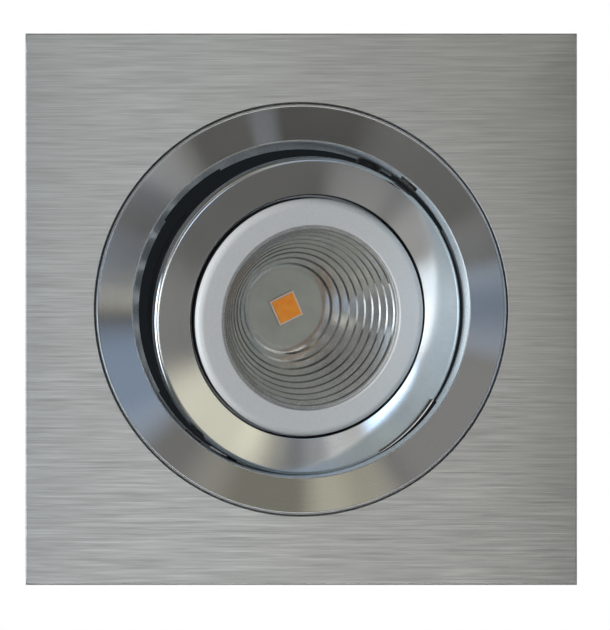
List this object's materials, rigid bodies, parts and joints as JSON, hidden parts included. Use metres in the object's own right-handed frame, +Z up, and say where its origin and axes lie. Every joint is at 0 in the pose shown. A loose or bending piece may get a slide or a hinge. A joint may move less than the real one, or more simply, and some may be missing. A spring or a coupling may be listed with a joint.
{
  "type": "soffit downlight",
  "caption": "Square recessed soffit downlight whose round lamp head swivels and tilts in a dished ring, held in the soffit by sprung clips.",
  "frame": {"origin": "centre of the soffit cut-out, in the plane where the gasket meets the soffit", "axes": "+Z up into the soffit and out of the back of the light, light shines towards -Z, X and Y along the sides of the square plate"},
  "size_m": [0.092, 0.092, 0.0445],
  "materials": {
    "brushed_nickel_plate": "straight horizontal brushing",
    "satin_turned": "fine turned grain, satin",
    "silver_paint": "matt silver lacquer",
    "reflector_mirror": "bright stepped mirror finish",
    "cast_body": "plain die-cast",
    "collar_cast": "plain die-cast",
    "steel_bright": "zinc plated",
    "spring_steel": "drawn wire",
    "nylon": "natural nylon",
    "black_rubber": "moulded",
    "grey_foam": "closed-cell foam",
    "board_grey": "grey solder resist",
    "pad_grey": "thermal silicone",
    "led_frame": "pale ceramic",
    "phosphor": "orange phosphor gel"
  },
  "bodies": {
    "housing": {"front_plate": "brushed_nickel_plate", "soffit_gasket": "grey_foam", "mounting_collar": "collar_cast", "collar_screws": "steel_bright", "swivel_washer": "nylon", "bracket_rivets": "steel_bright", "clip_bracket_left": "steel_bright", "clip_bracket_right": "steel_bright", "clip_pin_left": "steel_bright", "clip_pin_right": "steel_bright", "clip_spring_left": "spring_steel", "clip_spring_right": "spring_steel"},
    "swivel": {"swivel_ring": "satin_turned", "pivot_pins": "steel_bright", "tilt_washer": "nylon", "tilt_bush": "nylon"},
    "head": {"gimbal_ring": "satin_turned", "lamp_circlip": "spring_steel", "heat_sink": "cast_body", "lamp_trim": "silver_paint", "reflector": "reflector_mirror", "led_board": "board_grey", "thermal_pad": "pad_grey", "led_package": "led_frame", "led_phosphor": "phosphor", "board_screws": "steel_bright", "cable_grommet": "black_rubber"},
    "clip_left": {"clip_arm_left": "steel_bright", "clip_pad_left": "black_rubber"},
    "clip_right": {"clip_arm_right": "steel_bright", "clip_pad_right": "black_rubber"}
  },
  "joints": [
    {"name": "swivel_turn", "type": "hinge", "parent": "housing", "child": "swivel", "pos_m": [0, 0, 0], "axis": [0, 0, 1], "range_deg": [-171, 171]},
    {"name": "head_tilt", "type": "hinge", "parent": "swivel", "child": "head", "pos_m": [0, 0, 0.0095], "axis": [0.4226, -0.9063, 0], "range_deg": [-44, 6]},
    {"name": "clip_right_hinge", "type": "hinge", "parent": "housing", "child": "clip_right", "pos_m": [0.0342, 0, 0.0178], "axis": [0, -1, 0], "range_deg": [0, 170], "stiffness_Nm_per_rad": 0.05, "springref_deg": -51.57, "deforming": ["clip_spring_right"]},
    {"name": "clip_left_hinge", "type": "hinge", "parent": "housing", "child": "clip_left", "pos_m": [-0.0342, 0, 0.0178], "axis": [0, 1, 0], "range_deg": [0, 170], "stiffness_Nm_per_rad": 0.05, "springref_deg": -51.57, "deforming": ["clip_spring_left"]}
  ]
}
